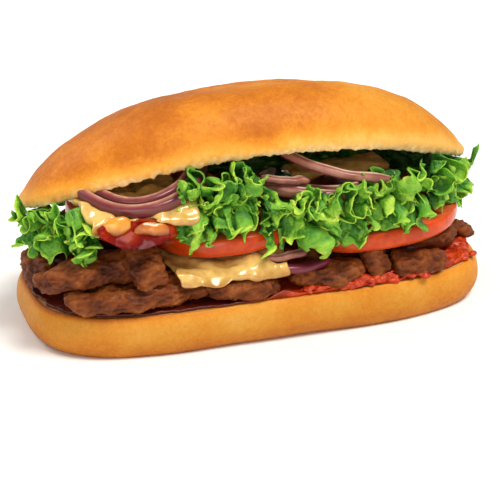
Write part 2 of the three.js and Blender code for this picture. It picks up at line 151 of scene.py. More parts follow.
def evenMesh(mesh, voxel, rounds):
    # the same form in even small faces, with its facets and seams rounded off
    helper = bpy.data.objects.new("helper", mesh)
    bpy.context.scene.collection.objects.link(helper)
    remesh = helper.modifiers.new("even", "REMESH")
    remesh.mode = "VOXEL"
    remesh.voxel_size = voxel * mm
    relax = helper.modifiers.new("relax", "SMOOTH")
    relax.factor = 0.5
    relax.iterations = rounds
    bpy.context.view_layer.update()
    evaluated = helper.evaluated_get(bpy.context.evaluated_depsgraph_get())
    finished = bpy.data.meshes.new_from_object(evaluated)
    bpy.data.objects.remove(helper)
    bpy.data.meshes.remove(mesh)
    return finished


def softCopy(node, voxel, rounds, name):
    # the node's own solid, meshed evenly and with its facets rounded off
    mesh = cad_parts[node].data.copy()
    work = bmesh.new()
    work.from_mesh(mesh)
    bmesh.ops.remove_doubles(work, verts=work.verts, dist=0.01 * mm)
    work.to_mesh(mesh)
    work.free()
    piece = bpy.data.objects.new(name, evenMesh(mesh, voxel, rounds))
    bpy.context.scene.collection.objects.link(piece)
    for attribute in list(piece.data.attributes):
        if not attribute.is_internal and not attribute.is_required:
            piece.data.attributes.remove(attribute)
    return piece


def pushOut(piece, amountAt):
    # moves each point along its normal, and returns how far each one went
    mesh = piece.data
    moves = []
    places = [(v.co / mm, v.normal.copy()) for v in mesh.vertices]
    for vertex, (p, normal) in zip(mesh.vertices, places):
        amount = amountAt(p, normal)
        vertex.co = (p + normal * amount) * mm
        moves.append(amount)
    mesh.update()
    return moves


# Materials

def addNode(tree, kind, inputs=None, stops=None, **settings):
    node = tree.nodes.new(kind)
    for key, value in settings.items():
        setattr(node, key, value)
    for key, value in (inputs or {}).items():
        if isinstance(value, bpy.types.NodeSocket):
            tree.links.new(value, node.inputs[key])
        else:
            node.inputs[key].default_value = value
    for i, (place, code) in enumerate(stops or []):
        ramp = node.color_ramp.elements
        step = ramp[i] if i < 2 else ramp.new(place)
        step.position = place
        step.color = linearFromHex(code) if isinstance(code, str) else (code, code, code, 1)
    return node


def startMaterial(name, **values):
    material = bpy.data.materials.new(name)
    material.use_nodes = True
    tree = material.node_tree
    shader = tree.nodes["Principled BSDF"]
    for key, value in values.items():
        shader.inputs[key].default_value = value
    place = addNode(tree, "ShaderNodeTexCoord").outputs["Object"]
    return material, tree, shader, place


def perMm(size):
    return 1 / (size * mm)  # a texture's scale for features of this many millimetres


def bakedCrust():
    # Wheat roll, proved and baked: a dry skin, satin where the steam glazed it, that is
    # deep gold on top, with painted shade that darkens it low down, painted light and shade
    # that brown the crown's upper left and pale its right, and open crumb where the knife went
    material, tree, shader, place = startMaterial("bakedCrust", **{
        "Roughness": 0.5,
        "IOR": 1.45,
        "Specular IOR Level": 0.25,
        "Subsurface Weight": 0.08,
        "Subsurface Radius": (1, 0.55, 0.25),
        "Subsurface Scale": 2 * mm,
    })
    # the browning share; on the crown it also holds painted light and shade, darker at the upper left and
    # paler towards the right
    baked = addNode(tree, "ShaderNodeAttribute", attribute_name="baked").outputs["Fac"]
    crumb = addNode(tree, "ShaderNodeAttribute", attribute_name="crumb").outputs["Fac"]
    patches = addNode(tree, "ShaderNodeTexNoise", {
        "Vector": place, "Scale": perMm(14), "Detail": 6, "Roughness": 0.62,
    }).outputs["Fac"]
    freckles = addNode(tree, "ShaderNodeTexNoise", {
        "Vector": place, "Scale": perMm(2.2), "Detail": 7, "Roughness": 0.72, "Distortion": 0.8,
    }).outputs["Fac"]
    pores = addNode(tree, "ShaderNodeTexVoronoi", {
        "Vector": place, "Scale": perMm(1.7), "Randomness": 1.0,
    }).outputs["Distance"]
    patchy = addNode(tree, "ShaderNodeMath", {0: patches, 1: 0.32}, operation="MULTIPLY_ADD")
    tree.links.new(baked, patchy.inputs[2])
    speckled = addNode(tree, "ShaderNodeMath", {
        0: freckles, 1: 0.44, 2: patchy.outputs[0],
    }, operation="MULTIPLY_ADD")
    crust = addNode(tree, "ShaderNodeValToRGB", {"Fac": speckled.outputs[0]}, stops=[
        (0.42, "edb65c"), (1, "b2600f"), (0.58, "e5a038"), (0.73, "db8a22"), (0.88, "c57016"),
    ])
    crumbTone = addNode(tree, "ShaderNodeValToRGB", {"Fac": freckles}, stops=[
        (0.35, "d9ab62"), (0.65, "f6e0ae"),
    ])
    # painted shade: this share multiplies the crust towards a darker, greyer brown
    dull = addNode(tree, "ShaderNodeAttribute", attribute_name="dull").outputs["Fac"]
    crustInPaintedShade = addNode(tree, "ShaderNodeMixRGB", {
        "Fac": dull, "Color1": crust.outputs["Color"], "Color2": (0.66, 0.63, 0.52, 1),
    }, blend_type="MULTIPLY")
    colour = addNode(tree, "ShaderNodeMixRGB", {
        "Fac": crumb, "Color1": crustInPaintedShade.outputs["Color"], "Color2": crumbTone.outputs["Color"],
    })
    tree.links.new(colour.outputs["Color"], shader.inputs["Base Color"])
    wrinkles = addNode(tree, "ShaderNodeTexNoise", {
        "Vector": place, "Scale": perMm(1.5), "Detail": 5, "Roughness": 0.65, "Distortion": 0.6,
    }).outputs["Fac"]
    relief = addNode(tree, "ShaderNodeMixRGB", {"Fac": crumb, "Color1": wrinkles, "Color2": pores})
    depth = addNode(tree, "ShaderNodeMath", {0: crumb, 1: 0.6, 2: 0.4}, operation="MULTIPLY_ADD")
    bump = addNode(tree, "ShaderNodeBump", {
        "Height": relief.outputs["Color"], "Strength": depth.outputs[0], "Distance": 0.5 * mm,
    })
    tree.links.new(bump.outputs["Normal"], shader.inputs["Normal"])
    gloss = addNode(tree, "ShaderNodeMapRange", {
        "Value": freckles, "From Min": 0.3, "From Max": 0.7, "To Min": 0.46, "To Max": 0.62,
    })
    tree.links.new(gloss.outputs["Result"], shader.inputs["Roughness"])
    return material


def searedBeef():
    # Thin strips of steak from a hot plate: coarse fibres, with painted shade dark in the
    # creases, and a thin film of fat and juice that gives small broken highlights
    material, tree, shader, place = startMaterial("searedBeef", **{
        "IOR": 1.4,
        "Specular IOR Level": 0.25,
        "Coat Weight": 0.06,
        "Coat Roughness": 0.2,
        "Subsurface Weight": 0.08,
        "Subsurface Radius": (1, 0.35, 0.2),
        "Subsurface Scale": 1.5 * mm,
    })
    # painted shade: the relief makes pushed-in hollows darker and lumps lighter
    relief = addNode(tree, "ShaderNodeAttribute", attribute_name="relief").outputs["Fac"]
    grain = addNode(tree, "ShaderNodeTexNoise", {
        "Vector": place, "Scale": perMm(2), "Detail": 7, "Roughness": 0.78, "Distortion": 0.8,
    }).outputs["Fac"]
    patches = addNode(tree, "ShaderNodeTexNoise", {
        "Vector": place, "Scale": perMm(13), "Detail": 3,
    }).outputs["Fac"]
    deep = addNode(tree, "ShaderNodeMath", {0: grain, 1: 0.72, 2: relief}, operation="MULTIPLY_ADD")
    tone = addNode(tree, "ShaderNodeMath", {
        0: patches, 1: 0.22, 2: deep.outputs[0],
    }, operation="MULTIPLY_ADD")
    colour = addNode(tree, "ShaderNodeValToRGB", {"Fac": tone.outputs[0]}, stops=[
        (0.18, "3c180a"), (0.84, "a66a32"), (0.34, "5a280c"), (0.5, "743711"), (0.66, "8b4b1c"),
    ])
    tree.links.new(colour.outputs["Color"], shader.inputs["Base Color"])
    bump = addNode(tree, "ShaderNodeBump", {
        "Height": grain, "Strength": 0.9, "Distance": 0.9 * mm,
    })
    tree.links.new(bump.outputs["Normal"], shader.inputs["Normal"])
    gloss = addNode(tree, "ShaderNodeMapRange", {
        "Value": grain, "From Min": 0.35, "From Max": 0.7, "To Min": 0.34, "To Max": 0.6,
    })
    tree.links.new(gloss.outputs["Result"], shader.inputs["Roughness"])
    return material


def meltedCheese(name, pale, deep, roughness, edge):
    # Processed cheese, melted and set again: smooth and fatty, so that light goes a little
    # way in, with a soft shine on every fold
    material, tree, shader, place = startMaterial(name, **{
        "Roughness": roughness,
        "IOR": 1.45,
        "Subsurface Weight": 0.35,
        "Subsurface Radius": (1, 0.6, 0.25),
        "Subsurface Scale": 2.5 * mm,
        "Coat Weight": 0.45,
        "Coat Roughness": 0.08,
    })
    shade = addNode(tree, "ShaderNodeTexNoise", {
        "Vector": place, "Scale": perMm(7), "Detail": 4, "Roughness": 0.6,
    }).outputs["Fac"]
    body = addNode(tree, "ShaderNodeValToRGB", {"Fac": shade}, stops=[(0.3, deep), (0.62, pale)])
    low = addNode(tree, "ShaderNodeAttribute", attribute_name="low").outputs["Fac"]
    colour = addNode(tree, "ShaderNodeMixRGB", {
        "Fac": low, "Color1": body.outputs["Color"], "Color2": linearFromHex(edge),
    })
    tree.links.new(colour.outputs["Color"], shader.inputs["Base Color"])
    ripple = addNode(tree, "ShaderNodeTexNoise", {
        "Vector": place, "Scale": perMm(2.6), "Detail": 3,
    }).outputs["Fac"]
    bump = addNode(tree, "ShaderNodeBump", {"Height": ripple, "Strength": 0.3, "Distance": 0.5 * mm})
    tree.links.new(bump.outputs["Normal"], shader.inputs["Normal"])
    return material


def cutTomato():
    # Ripe tomato, sliced: wet flesh, pale where the wall of the fruit was cut, inside a
    # thin tight skin that shines like wax
    material, tree, shader, place = startMaterial("cutTomato", **{
        "IOR": 1.4,
        "Specular IOR Level": 0.4,
        "Subsurface Weight": 0.25,
        "Subsurface Radius": (1, 0.3, 0.12),
        "Subsurface Scale": 2 * mm,
        "Coat Weight": 0.14,
        "Coat Roughness": 0.1,
    })
    share = addNode(tree, "ShaderNodeAttribute", attribute_name="share").outputs["Fac"]
    side = addNode(tree, "ShaderNodeAttribute", attribute_name="side").outputs["Fac"]
    streaks = addNode(tree, "ShaderNodeTexNoise", {
        "Vector": place, "Scale": perMm(5), "Detail": 5, "Roughness": 0.65, "Distortion": 0.4,
    }).outputs["Fac"]
    jitter = addNode(tree, "ShaderNodeMath", {0: streaks, 1: 0.16}, operation="MULTIPLY")
    inset = addNode(tree, "ShaderNodeMath", {
        0: share, 1: 0.85, 2: jitter.outputs[0],
    }, operation="MULTIPLY_ADD")
    flesh = addNode(tree, "ShaderNodeValToRGB", {"Fac": inset.outputs[0]}, stops=[
        (0.4, "e0662e"), (0.95, "c22e12"), (0.6, "a83212"), (0.75, "d0501f"), (0.86, "de6c3a"),
    ])
    peel = addNode(tree, "ShaderNodeValToRGB", {"Fac": streaks}, stops=[
        (0.3, "b12f0c"), (0.7, "d2500f"),
    ])
    colour = addNode(tree, "ShaderNodeMixRGB", {
        "Fac": side, "Color1": flesh.outputs["Color"], "Color2": peel.outputs["Color"],
    })
    tree.links.new(colour.outputs["Color"], shader.inputs["Base Color"])
    gloss = addNode(tree, "ShaderNodeMapRange", {"Value": side, "To Min": 0.38, "To Max": 0.24})
    tree.links.new(gloss.outputs["Result"], shader.inputs["Roughness"])
    bump = addNode(tree, "ShaderNodeBump", {"Height": streaks, "Strength": 0.22, "Distance": 0.6 * mm})
    tree.links.new(bump.outputs["Normal"], shader.inputs["Normal"])
    return material


def rawOnion():
    # Red onion, cut in rings: wet glassy layers, pinkish white, each with a thin purple
    # skin on its outside that shows as a line along the cut
    material, tree, shader, place = startMaterial("rawOnion", **{
        "IOR": 1.38,
        "Roughness": 0.3,
        "Subsurface Weight": 0.2,
        "Subsurface Radius": (1, 0.55, 0.5),
        "Subsurface Scale": 0.8 * mm,
        "Coat Weight": 0.25,
        "Coat Roughness": 0.12,
    })
    # the layer value also carries the left ring's painted shade
    layer = addNode(tree, "ShaderNodeAttribute", attribute_name="layer").outputs["Fac"]
    skin = addNode(tree, "ShaderNodeAttribute", attribute_name="skin").outputs["Fac"]
    haze = addNode(tree, "ShaderNodeTexNoise", {
        "Vector": place, "Scale": perMm(5), "Detail": 4,
    }).outputs["Fac"]
    halfHaze = addNode(tree, "ShaderNodeMath", {0: haze, 1: 0.5}, operation="MULTIPLY").outputs[0]
    tone = addNode(tree, "ShaderNodeMath", {0: layer, 1: 0.6, 2: halfHaze}, operation="MULTIPLY_ADD")
    flesh = addNode(tree, "ShaderNodeValToRGB", {"Fac": tone.outputs[0]}, stops=[
        (0.2, "b4867a"), (1, "6e3c34"), (0.36, "f2dcc8"), (0.58, "e4bca2"), (0.78, "a56c58"),
    ])
    colour = addNode(tree, "ShaderNodeMixRGB", {
        "Fac": skin, "Color1": flesh.outputs["Color"], "Color2": linearFromHex("6a1230"),
    })
    tree.links.new(colour.outputs["Color"], shader.inputs["Base Color"])
    bump = addNode(tree, "ShaderNodeBump", {"Height": haze, "Strength": 0.2, "Distance": 0.4 * mm})
    tree.links.new(bump.outputs["Normal"], shader.inputs["Normal"])
    return material


def saucedOnion():
    # A petal of red onion that cooked in tomato sauce: stained dark red, wet and glassy
    material, tree, shader, place = startMaterial("saucedOnion", **{
        "IOR": 1.18,
        "Specular IOR Level": 0.4,
        "Roughness": 0.22,
        "Subsurface Weight": 0.2,
        "Subsurface Radius": (1, 0.2, 0.12),
        "Subsurface Scale": 2 * mm,
    })
    tint = addNode(tree, "ShaderNodeTexNoise", {
        "Vector": place, "Scale": perMm(6), "Detail": 4, "Distortion": 0.5,
    }).outputs["Fac"]
    cooked = addNode(tree, "ShaderNodeValToRGB", {"Fac": tint}, stops=[
        (0.3, "6a140c"), (0.74, "b04a16"), (0.5, "8a200e"),
    ])
    low = addNode(tree, "ShaderNodeAttribute", attribute_name="low").outputs["Fac"]
    colour = addNode(tree, "ShaderNodeMixRGB", {
        "Fac": low, "Color1": cooked.outputs["Color"], "Color2": linearFromHex("520a14"),
    })
    tree.links.new(colour.outputs["Color"], shader.inputs["Base Color"])
    bump = addNode(tree, "ShaderNodeBump", {"Height": tint, "Strength": 0.4, "Distance": 0.6 * mm})
    tree.links.new(bump.outputs["Normal"], shader.inputs["Normal"])
    return material


def tomatoSauce():
    # Chopped tomatoes cooked down: red lumps in a thinner orange juice, all of it wet
    material, tree, shader, place = startMaterial("tomatoSauce", **{
        "IOR": 1.4,
        "Subsurface Weight": 0.15,
        "Subsurface Radius": (1, 0.2, 0.1),
        "Subsurface Scale": 2 * mm,
        "Specular IOR Level": 0.4,
        "Coat Weight": 0.15,
        "Coat Roughness": 0.15,
        "Roughness": 0.36,
    })
    pulp = addNode(tree, "ShaderNodeTexNoise", {
        "Vector": place, "Scale": perMm(3), "Detail": 6, "Roughness": 0.7, "Distortion": 0.5,
    }).outputs["Fac"]
    fresh = addNode(tree, "ShaderNodeValToRGB", {"Fac": pulp}, stops=[
        (0.3, "70180a"), (0.72, "e87430"), (0.44, "a62a0e"), (0.58, "c5400f"),
    ])
    # darker towards the left end: partly darker juice, partly painted shade where the crown shades the
    # filling
    gravy = addNode(tree, "ShaderNodeAttribute", attribute_name="gravy").outputs["Fac"]
    colour = addNode(tree, "ShaderNodeMixRGB", {
        "Fac": gravy, "Color1": fresh.outputs["Color"], "Color2": linearFromHex("44120a"),
    })
    tree.links.new(colour.outputs["Color"], shader.inputs["Base Color"])
    bump = addNode(tree, "ShaderNodeBump", {"Height": pulp, "Strength": 0.6, "Distance": 0.8 * mm})
    tree.links.new(bump.outputs["Normal"], shader.inputs["Normal"])
    return material


def curlyLettuce():
    # Green leaf lettuce, washed: a thin blade that light comes through, waxy and blistered
    # between pale veins and lime at its frilled margin, with painted shade deep green in the
    # folds and painted light on the crests
    material, tree, shader, place = startMaterial("curlyLettuce", **{
        "IOR": 1.4,
        "Specular IOR Level": 0.28,
        "Subsurface Weight": 0.3,
        "Subsurface Radius": (0.35, 1, 0.12),
        "Subsurface Scale": 1.6 * mm,
        "Coat Weight": 0.08,
        "Coat Roughness": 0.25,
    })
    margin = addNode(tree, "ShaderNodeAttribute", attribute_name="margin").outputs["Fac"]
    # painted shade in the folds and painted light on crests and raised blisters
    crest = addNode(tree, "ShaderNodeAttribute", attribute_name="crest").outputs["Fac"]
    blisters = addNode(tree, "ShaderNodeTexNoise", {
        "Vector": place, "Scale": perMm(2.6), "Detail": 4, "Roughness": 0.6,
    }).outputs["Fac"]
    tone = blisters
    veins = addNode(tree, "ShaderNodeTexVoronoi", {
        "Vector": place, "Scale": perMm(3.6),
    }, feature="DISTANCE_TO_EDGE").outputs["Distance"]
    ribs = addNode(tree, "ShaderNodeMapRange", {"Value": veins, "From Max": 0.16}).outputs["Result"]
    for part, weight in ((blisters, -0.65), (margin, 0.42), (crest, 0.25), (ribs, -0.06)):
        tone = addNode(tree, "ShaderNodeMath", {
            0: part, 1: weight, 2: tone,
        }, operation="MULTIPLY_ADD").outputs[0]
    colour = addNode(tree, "ShaderNodeValToRGB", {"Fac": tone}, stops=[
        (0.06, "16360f"), (0.9, "b6d84c"), (0.24, "2c5e20"), (0.42, "468428"),
        (0.64, "78b034"),
    ])
    tree.links.new(colour.outputs["Color"], shader.inputs["Base Color"])
    puckers = addNode(tree, "ShaderNodeMath", {0: ribs, 1: 0.6, 2: blisters}, operation="MULTIPLY_ADD")
    bump = addNode(tree, "ShaderNodeBump", {
        "Height": puckers.outputs[0], "Strength": 0.6, "Distance": 0.7 * mm,
    })
    tree.links.new(bump.outputs["Normal"], shader.inputs["Normal"])
    gloss = addNode(tree, "ShaderNodeMapRange", {
        "Value": blisters, "From Min": 0.3, "From Max": 0.7, "To Min": 0.42, "To Max": 0.6,
    })
    tree.links.new(gloss.outputs["Result"], shader.inputs["Roughness"])
    return material


crustMaterial = bakedCrust()
beefMaterial = searedBeef()
cheeseMaterial = meltedCheese("meltedCheese", "dfba6c", "b98a40", 0.22, "9c6826")
dropMaterial = meltedCheese("saucedCheese", "e0a032", "c07420", 0.28, "8a3010")
smearMaterial = meltedCheese("stainedCheese", "c87a22", "96420f", 0.3, "6e1c10")
tomatoMaterial = cutTomato()
onionMaterial = rawOnion()
petalMaterial = saucedOnion()
sauceMaterial = tomatoSauce()
lettuceMaterial = curlyLettuce()
print("materials made")


# The roll, in millimetres

heel = {
    "halfLength": 95.5,
    "halfDepth": 43.5,
    "squareness": 3.4,
    "height": 17.5,
    "lowBulge": 9.5,  # how far the wall turns in below its middle, and above it
    "highBulge": 4.6,
    "sides": 300,
}


def heelRing(inset, z, lumps):
    ring = []
    for i in range(heel["sides"]):
        angle = turn * i / heel["sides"]
        p = outlinePoint(heel["halfLength"], heel["halfDepth"], heel["squareness"], angle)
        swell = 1 + (lumps * lump(p + up * z * 0.4, 24, 3) - inset) / p.length
        ring.append(Vector((p.x * swell, p.y * swell, z)))
    return ring


def buildHeel():
    wallTurn = math.radians(64)
    rings, baked, crumb, dull = [], [], [], []

    def addRing(inset, z, lumps, browned, cut, tint=0):
        ring = heelRing(inset, z, lumps)
        rings.append(ring)
        for p in ring:
            baked.append(browned + 0.06 * lump(p, 16, 9) + tint * smooth(30, 80, -p.x))
            crumb.append(min(1, max(0, cut)))
            # painted shade: the heel darkened all over, least at its right end and along its top rim
            dull.append(1 - 0.4 * smooth(40, 94, p.x) - 0.25 * smooth(12, 17, z))

    addRing(26, 0, 0, 0.5, 0)
    addRing(14, 0, 0, 0.5, 0)
    steps = 22
    for i in range(steps + 1):
        angle = mix(-wallTurn, wallTurn, i / steps)
        bulge = heel["lowBulge"] if i < steps / 2 else heel["highBulge"]
        z = heel["height"] * (0.5 + 0.5 * math.sin(angle) / math.sin(wallTurn))
        share = z / heel["height"]
        browned = 0.2 + 0.3 * (1 - share) ** 2 + 0.1 * smooth(0.75, 1, share)
        addRing(bulge * (1 - math.cos(angle)), z, 0.7, browned, 0, 0.3 * smooth(0.9, 1, share))
    cutFace = [(3.4, 17.5, 0), (4.4, 17.35, 0.4), (6, 17.1, 1), (9, 16.8, 1), (15, 16.4, 1), (27, 16.4, 1)]
    for inset, z, cut in cutFace:
        addRing(inset, z, 0.4, 0.3, cut, 0.4)
    baked += [0.5, 0.3]
    crumb += [0, 1]
    dull += [1, 1]
    notes = {"baked": baked, "crumb": crumb, "dull": dull}
    faces = skinFaces(len(rings), heel["sides"])
    makePiece("heel", withMiddles(rings), faces, notes, crustMaterial, ["bun_bottom"])


crown = {
    "halfLength": 94,
    "halfDepth": 38,
    "squareness": 2.25,
    "height": 26.5,
    "back": 5,
    "tipHeight": 51,
    "arch": 15,
    "tilt": 0.245,
    "sides": 880,
    "ragged": 0.8,  # how much the torn rim goes up and down
}


def cutFaceHeight(x, y):
    arch = crown["arch"] * (1 - (x / crown["halfLength"]) ** 2)
    return crown["tipHeight"] + arch - (y - crown["back"]) * crown["tilt"]


def buildCrown():
    profile = [(0.02, 1.6, 1), (0.3, 1.6, 1), (0.6, 1.3, 1), (0.8, 0.7, 1), (0.9, 0.2, 1)]
    profile += [(0.94, 0.05, 1), (0.965, 0, 1), (0.98, 0.15, 1), (0.99, 0.7, 0.85)]
    profile += [(0.997, 1.5, 0.4), (1, 2.6, 0.12), (0.9985, 3.6, 0), (0.994, 4.3, 0)]
    steps = 33
    for i in range(1, steps + 1):
        share = math.cos(mix(0.19, 0.5 * math.pi * 0.99, i / steps))
        profile.append((share, crown["height"] * (1 - share ** 3.24) ** 0.578, 0))
    rings, baked, crumb, dull = [], [], [], []
    for share, rise, cut in profile:
        ring = []
        for i in range(crown["sides"]):
            angle = turn * i / crown["sides"]
            p = outlinePoint(crown["halfLength"], crown["halfDepth"], crown["squareness"], angle)
            p *= share
            p.y += crown["back"]
            p.z = cutFaceHeight(p.x, p.y) + rise
            height = rise / crown["height"]
            dents = 0.9 * lump(p, 30, 5) + 0.3 * lump(p, 11, 6) + 0.12 * lump(p, 4, 16)
            p.z += smooth(0, 0.2, height) * dents
            torn = smooth(0.9, 0.97, share) * (1 - smooth(1.5, 5, rise))
            tears = 0.7 * lump(p, 3.4, 7) + 0.7 * lump(p, 1.5, 8) + 0.3 * abs(lump(p, 0.8, 10)) - 0.3
            p.z += crown["ragged"] * torn * tears
            edge = smooth(0.06, 0.42, height)
            # browner towards the upper left end, and in the last line paler towards the right: partly the
            # crust's own browning, partly painted light falling from the right
            end = smooth(20, 94, -p.x)
            browned = 0.12 + 0.34 * edge + 0.07 * end * smooth(0.2, 0.7, height)
            browned += 0.1 * smooth(0.55, 0.95, height) * (1 - smooth(-50, 10, p.x))
            browned = browned + 0.08 * lump(p, 22, 9) + 0.04 * lump(p, 8, 19)
            baked.append(browned - 0.15 * smooth(-10, 50, p.x))
            crumb.append(min(1, max(0, cut + 0.5 * torn * lump(p, 2.2, 12) * (0.1 < cut < 1))))
            # painted shade over the whole crown, a little deeper towards its right end
            dull.append(0.32 + 0.12 * smooth(30, 70, p.x))
            ring.append(p)
        rings.append(ring)
    baked += [0.3, 0.6]
    crumb += [1, 0]
    dull += [0.2, 0.2]
    notes = {"baked": baked, "crumb": crumb, "dull": dull}
    faces = skinFaces(len(rings), crown["sides"])
    makePiece("crown", withMiddles(rings), faces, notes, crustMaterial, ["bun_top"])


buildHeel()
buildCrown()
print("roll built")


# Tomato slices, the same discs as the solids with a rounder skin

tomato = {
    "thickness": 7.5,
    "lean": 0.07,
    "sides": 200,
    "slices": {
        "tomato_left": {"centre": (-44, 1, 48.4), "radius": 32, "seed": 1},
        "tomato_middle": {"centre": (-11, 0, 40), "radius": 36.5, "seed": 2},
        "tomato_right": {"centre": (50, -0.5, 34.6), "radius": 38, "seed": 3},
    },
}


def buildTomato(name, centre, radius, seed):
    half = tomato["thickness"] / 2
    profile = [(s, -half, 0) for s in (0.03, 0.3, 0.55, 0.75, 0.88, 0.92)]
    for i in range(11):
        angle = mix(-0.5 * math.pi, 0.5 * math.pi, i / 10)
        swell = 0.93 + 0.06 * abs(math.cos(angle)) ** 0.6
        profile.append((swell, half * math.sin(angle), abs(math.cos(angle)) ** 0.5))
    profile += [(s, half, 0) for s in (0.92, 0.88, 0.75, 0.55, 0.3, 0.03)]
    rings, share, side = [], [], []
    for s, z, skinned in profile:
        ring = []
        for i in range(tomato["sides"]):
            angle = turn * i / tomato["sides"]
            lobes = 1 + 0.02 * math.sin(3 * angle + seed) + 0.012 * math.sin(5 * angle)
            x = radius * s * lobes * math.cos(angle)
            y = radius * s * lobes * math.sin(angle)
            p = Vector((centre[0] + x, centre[1] + y, centre[2] + z + tomato["lean"] * x))
            p.z += 0.35 * lump(p, 12, seed) * s
            ring.append(p)
            share.append(s)
            side.append(skinned)
        rings.append(ring)
    share += [0, 0]
    side += [0, 0]
    faces = skinFaces(len(rings), tomato["sides"])
    notes = {"share": share, "side": side}
    makePiece(pieceName(name), withMiddles(rings), faces, notes, tomatoMaterial, [name])


for name, disc in tomato["slices"].items():
    buildTomato(name, **disc)
print("tomato sliced")


# Onion, cut in parts of rings. A thick cut still holds the next layer inside it

onion = {
    "wall": 4.4,
    "sides": 28,
    "stations": 70,
    "layerGap": 0.5,
    "rings": {
        # the left ring's tint is painted shade, as the crown shades it; the low purple strip's tint is its
        # purple skin all over
        "onion_ring_left": dict(
            centre=(-51, -12.5, 68.5), radius=25, start=178, end=372, pitch=18, roll=8,
            tall=5.4, tint=0.42, layers=2,
        ),
        "onion_band_right": dict(
            centre=(24, 8, 58.5), radius=42, start=228, end=312, pitch=4, roll=-6, tall=5.2,
            tint=0, layers=2,
        ),
        "onion_strip_right": dict(
            centre=(36, -2, 65.5), radius=34, start=196, end=290, pitch=5, roll=-13, tall=3.6,
            tint=0, layers=1,
        ),
        "onion_strip_inner": dict(
            centre=(6, 4, 62.6), radius=33, start=250, end=285, pitch=0, roll=-8, tall=3,
            tint=0, layers=1,
        ),
        "onion_low_purple": dict(
            centre=(5, -8, 30.5), radius=30, start=238, end=304, pitch=3, roll=-5, tall=3.4,
            tint=0.9, layers=1,
        ),
        "onion_low_white": dict(
            centre=(3, -10, 33.2), radius=25, start=245, end=292, pitch=0, roll=4, tall=2.8,
            tint=0, layers=1,
        ),
        "onion_back": dict(
            centre=(24, 6, 42.8), radius=32, start=40, end=128, pitch=0, roll=4, tall=4.4,
            tint=0, layers=2,
        ),
    },
}


def turned(p, ax, ay):
    # first about Y, then about X, as the solids' rings are
    x = p.x * math.cos(ay) + p.z * math.sin(ay)
    z = -p.x * math.sin(ay) + p.z * math.cos(ay)
    y = p.y * math.cos(ax) - z * math.sin(ax)
    return Vector((x, y, p.y * math.sin(ax) + z * math.cos(ax)))


def onionLayer(centre, radius, start, end, pitch, roll, wall, tall, tint, seed):
    rings, layer, skin = [], [], []
    for i in range(onion["stations"]):
        t = i / (onion["stations"] - 1)
        angle = math.radians(mix(start, end, t))
        taper = 0.4 + 0.6 * min(1, 8 * min(t, 1 - t)) ** 0.5
        outwards = Vector((math.cos(angle), math.sin(angle), 0))
        ring = []
        for k in range(onion["sides"]):
            flat = outlinePoint(0.5, 0.5, 3, -turn * k / onion["sides"])
            q = outwards * (radius + flat.x * wall * taper + 0.5 * wander(t * 6, 0, 0, seed))
            q += up * (flat.y * tall * taper + 0.4 * wander(t * 5, 1, 0, seed))
            ring.append(turned(q, math.radians(pitch), math.radians(-roll)) + Vector(centre))
            # the tint darkens the flesh and mixes in the purple skin: painted shade on the left ring, the
            # purple skin all over on the low purple strip
            layer.append(0.5 + flat.x + tint)
            edge = smooth(0.1, 0.36, -flat.y) + 0.7 * smooth(0.34, 0.46, flat.y)
            skin.append(max(tint - 0.1, min(1, edge) * smooth(-0.05, 0.25, flat.x)))
        rings.append(ring)
    return withMiddles(rings), layer + [0.5, 0.5], skin + [0, 0]


def buildOnion(name, radius, start, end, tall, layers, **shape):
    points, faces, layer, skin = [], [], [], []
    for i in range(layers):
        base = len(points)
        inset = i * (onion["wall"] + onion["layerGap"])
        part = onionLayer(
            radius=radius - inset,
            start=start + 7 * i,
            end=end - 9 * i,
            wall=onion["wall"] * (1 - 0.15 * i),
            tall=tall * (1 - 0.12 * i),
            seed=len(name),
            **shape,
        )
        points += part[0]
        layer += part[1]
        skin += part[2]
        faces += [tuple(base + v for v in face) for face in skinFaces(onion["stations"], onion["sides"])]
    notes = {"layer": layer, "skin": skin}
    makePiece(pieceName(name), points, faces, notes, onionMaterial, [name])


for name, ring in onion["rings"].items():
    buildOnion(name, **ring)
print("onion cut")


# Steak strips, from their own solids with lumps, fibres and grain pushed out of them

steak = {
    "voxel": 0.85,
    "rounds": 16,
    "lumpSize": 6.5,
    "lumpDepth": 1.1,
    "fibreSize": 1.9,
    "fibreDepth": 0.6,
    "grainSize": 1.1,
    "grainDepth": 0.3,
    # painted shade in the creases, set by the shading below
    "shading": 0.17,  # how far along the colours a millimetre of relief goes
    "firstSeed": 20,
}


def buildSteak(node, seed):
    piece = softCopy(node, steak["voxel"], steak["rounds"], pieceName(node))

    def relief(p, normal):
        stretched = Vector((p.x * 0.45, p.y, p.z * 1.2))
        big = lump(p, steak["lumpSize"], seed)
        fibre = abs(lump(stretched, steak["fibreSize"], seed + 1))
        grain = lump(p, steak["grainSize"], seed + 2)
        coarse = steak["lumpDepth"] * big - steak["fibreDepth"] * (fibre - 0.3) * 2
        return coarse + steak["grainDepth"] * grain

    moves = pushOut(piece, relief)
    # painted shade: each point's colour follows how far it was pushed in or out
    notes = {"relief": [steak["shading"] * m for m in moves]}
    finishPiece(piece, notes, beefMaterial, [node])


for seed, node in enumerate(sorted(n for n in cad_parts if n.startswith("steak"))):
    buildSteak(node, seed + steak["firstSeed"])
print("steak seared")


# Cheese, melted over what is under it, the drops on the petal, and the petal itself

